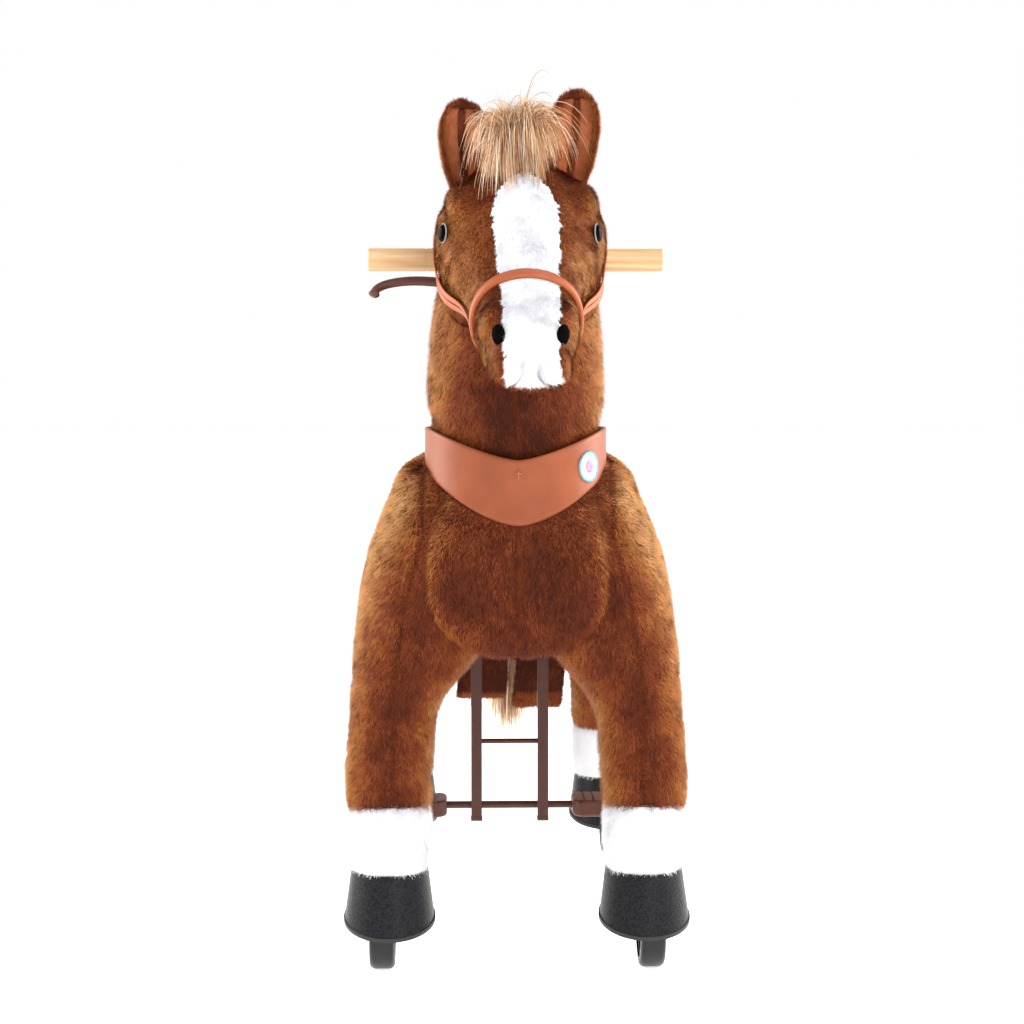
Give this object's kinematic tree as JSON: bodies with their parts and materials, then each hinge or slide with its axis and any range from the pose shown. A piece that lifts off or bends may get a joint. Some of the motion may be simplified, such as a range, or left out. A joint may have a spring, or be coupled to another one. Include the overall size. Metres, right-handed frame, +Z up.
{
  "type": "wheeled ride-on toy horse",
  "caption": "Plush walking ride-on horse: legs spread and close over wheels, worked by a pedal ladder, with a turning neck, wooden handle and brake lever.",
  "frame": {"origin": "centre of the bounding box's base, on the floor under the middle of the horse", "axes": "+Z up, the horse faces -Y, +X is the horse's left"},
  "size_m": [0.3724, 0.8735, 0.9495],
  "materials": {
    "chassis_steel": "satin black powder coat",
    "guide_plastic": "matt moulded",
    "plywood": "raw sanded",
    "brown_plush": "long-pile plush",
    "white_plush": "long-pile plush",
    "saddle_leather": "smooth, satin",
    "tan_leather": "smooth, satin",
    "patch_fabric": "woven",
    "label_fabric": "satin ribbon",
    "blond_hair": "long hair pile",
    "hoof_leather": "pebbled, semi-gloss",
    "hoof_edging": "matt",
    "fork_chrome": "bright",
    "brown_steel": "satin powder coat",
    "brown_plastic": "moulded",
    "link_steel": "zinc plated",
    "handle_wood": "clear lacquer",
    "ear_suede": "short nap",
    "eye_plastic": "polished",
    "nostril_felt": "felt",
    "tyre_rubber": "matt",
    "hub_plastic": "moulded"
  },
  "bodies": {
    "body": {"side_rails": "chassis_steel", "neck_bracket": "chassis_steel", "ladder_guides": "guide_plastic", "seat_posts": "chassis_steel", "seat_board": "plywood", "torso_plush": "brown_plush", "saddle": "saddle_leather", "collar": "tan_leather", "collar_patch": "patch_fabric", "belly_flaps": "brown_plush", "care_label": "label_fabric", "tail": "blond_hair"},
    "front_legs": {"front_leg_axle": "chassis_steel", "front_arms": "chassis_steel", "front_leg_tubes": "chassis_steel", "front_leg_plush": "brown_plush", "front_socks": "white_plush", "front_hooves": "hoof_leather", "front_hoof_rims": "hoof_edging"},
    "rear_legs": {"rear_leg_axle": "chassis_steel", "rear_arms": "chassis_steel", "rear_leg_tubes": "chassis_steel", "rear_leg_plush": "brown_plush", "rear_socks": "white_plush", "rear_hooves": "hoof_leather", "rear_hoof_rims": "hoof_edging", "rear_forks": "fork_chrome"},
    "pedal_frame": {"ladder_tubes": "brown_steel", "ladder_end_caps": "brown_plastic", "ladder_cross_bars": "brown_steel", "pedal_bar": "brown_steel", "pedals": "brown_plastic"},
    "front_link": {"front_link": "link_steel"},
    "rear_link": {"rear_link": "link_steel"},
    "steering": {"neck_column": "chassis_steel", "handle_clamp": "guide_plastic", "handle_bar": "handle_wood", "lever_bracket": "brown_steel", "neck_plush": "brown_plush", "head_plush": "brown_plush", "blaze": "white_plush", "ears": "brown_plush", "ear_linings": "ear_suede", "eyes": "eye_plastic", "nostrils": "nostril_felt", "noseband": "tan_leather", "cheek_straps": "tan_leather", "mane": "blond_hair", "forelock": "blond_hair"},
    "brake_lever": {"brake_lever": "brown_steel"},
    "left_fork": {"front_fork_left": "fork_chrome"},
    "right_fork": {"front_fork_right": "fork_chrome"},
    "front_left_wheel": {"front_left_tyre": "tyre_rubber", "front_left_hub": "hub_plastic"},
    "front_right_wheel": {"front_right_tyre": "tyre_rubber", "front_right_hub": "hub_plastic"},
    "rear_left_wheel": {"rear_left_tyre": "tyre_rubber", "rear_left_hub": "hub_plastic"},
    "rear_right_wheel": {"rear_right_tyre": "tyre_rubber", "rear_right_hub": "hub_plastic"}
  },
  "joints": [
    {"name": "front_leg_swing", "type": "hinge", "parent": "body", "child": "front_legs", "pos_m": [0, -0.165, 0.4], "axis": [1, 0, 0], "range_deg": [0, 10]},
    {"name": "rear_leg_swing", "type": "hinge", "parent": "body", "child": "rear_legs", "pos_m": [0, 0.245, 0.4], "axis": [-1, 0, 0], "range_deg": [0, 10]},
    {"name": "pedal_travel", "type": "slide", "parent": "body", "child": "pedal_frame", "axis": [0, 0, -1], "range_m": [0, 0.0305]},
    {"name": "front_link_pivot", "type": "hinge", "parent": "front_legs", "child": "front_link", "pos_m": [0.05, -0.165, 0.445], "axis": [-1, 0, 0], "range_deg": [0, 18.2]},
    {"name": "rear_link_pivot", "type": "hinge", "parent": "rear_legs", "child": "rear_link", "pos_m": [0.053, 0.245, 0.445], "axis": [1, 0, 0], "range_deg": [0, 18.2]},
    {"name": "steering", "type": "hinge", "parent": "body", "child": "steering", "pos_m": [0, -0.19, 0.45], "axis": [0, 0, 1], "range_deg": [-25, 25]},
    {"name": "brake_squeeze", "type": "hinge", "parent": "steering", "child": "brake_lever", "pos_m": [-0.075, -0.21448, 0.73761], "axis": [0, 0.7331, -0.6801], "range_deg": [0, 12], "stiffness_Nm_per_rad": 1.5, "springref_deg": -11.46},
    {"name": "left_fork_steer", "type": "hinge", "parent": "front_legs", "child": "left_fork", "pos_m": [0.137, -0.24, 0.12], "axis": [0, 0, 1], "range_deg": [-25, 25]},
    {"name": "right_fork_steer", "type": "hinge", "parent": "front_legs", "child": "right_fork", "pos_m": [-0.137, -0.24, 0.12], "axis": [0, 0, 1], "range_deg": [-25, 25]},
    {"name": "front_left_wheel_spin", "type": "hinge", "parent": "left_fork", "child": "front_left_wheel", "pos_m": [0.145, -0.24, 0.039], "axis": [1, 0, 0], "continuous": true},
    {"name": "front_right_wheel_spin", "type": "hinge", "parent": "right_fork", "child": "front_right_wheel", "pos_m": [-0.145, -0.24, 0.039], "axis": [1, 0, 0], "continuous": true},
    {"name": "rear_left_wheel_spin", "type": "hinge", "parent": "rear_legs", "child": "rear_left_wheel", "pos_m": [0.145, 0.32, 0.039], "axis": [1, 0, 0], "continuous": true},
    {"name": "rear_right_wheel_spin", "type": "hinge", "parent": "rear_legs", "child": "rear_right_wheel", "pos_m": [-0.145, 0.32, 0.039], "axis": [1, 0, 0], "continuous": true}
  ],
  "couplings": [
    {"joint": "rear_leg_swing", "follows": "front_leg_swing", "ratio": 1},
    {"joint": "pedal_travel", "follows": "front_leg_swing", "m_per_rad": 0.1736},
    {"joint": "front_link_pivot", "follows": "front_leg_swing", "ratio": 1.81},
    {"joint": "rear_link_pivot", "follows": "front_leg_swing", "ratio": 1.81},
    {"joint": "left_fork_steer", "follows": "steering", "ratio": 1},
    {"joint": "right_fork_steer", "follows": "steering", "ratio": 1}
  ]
}
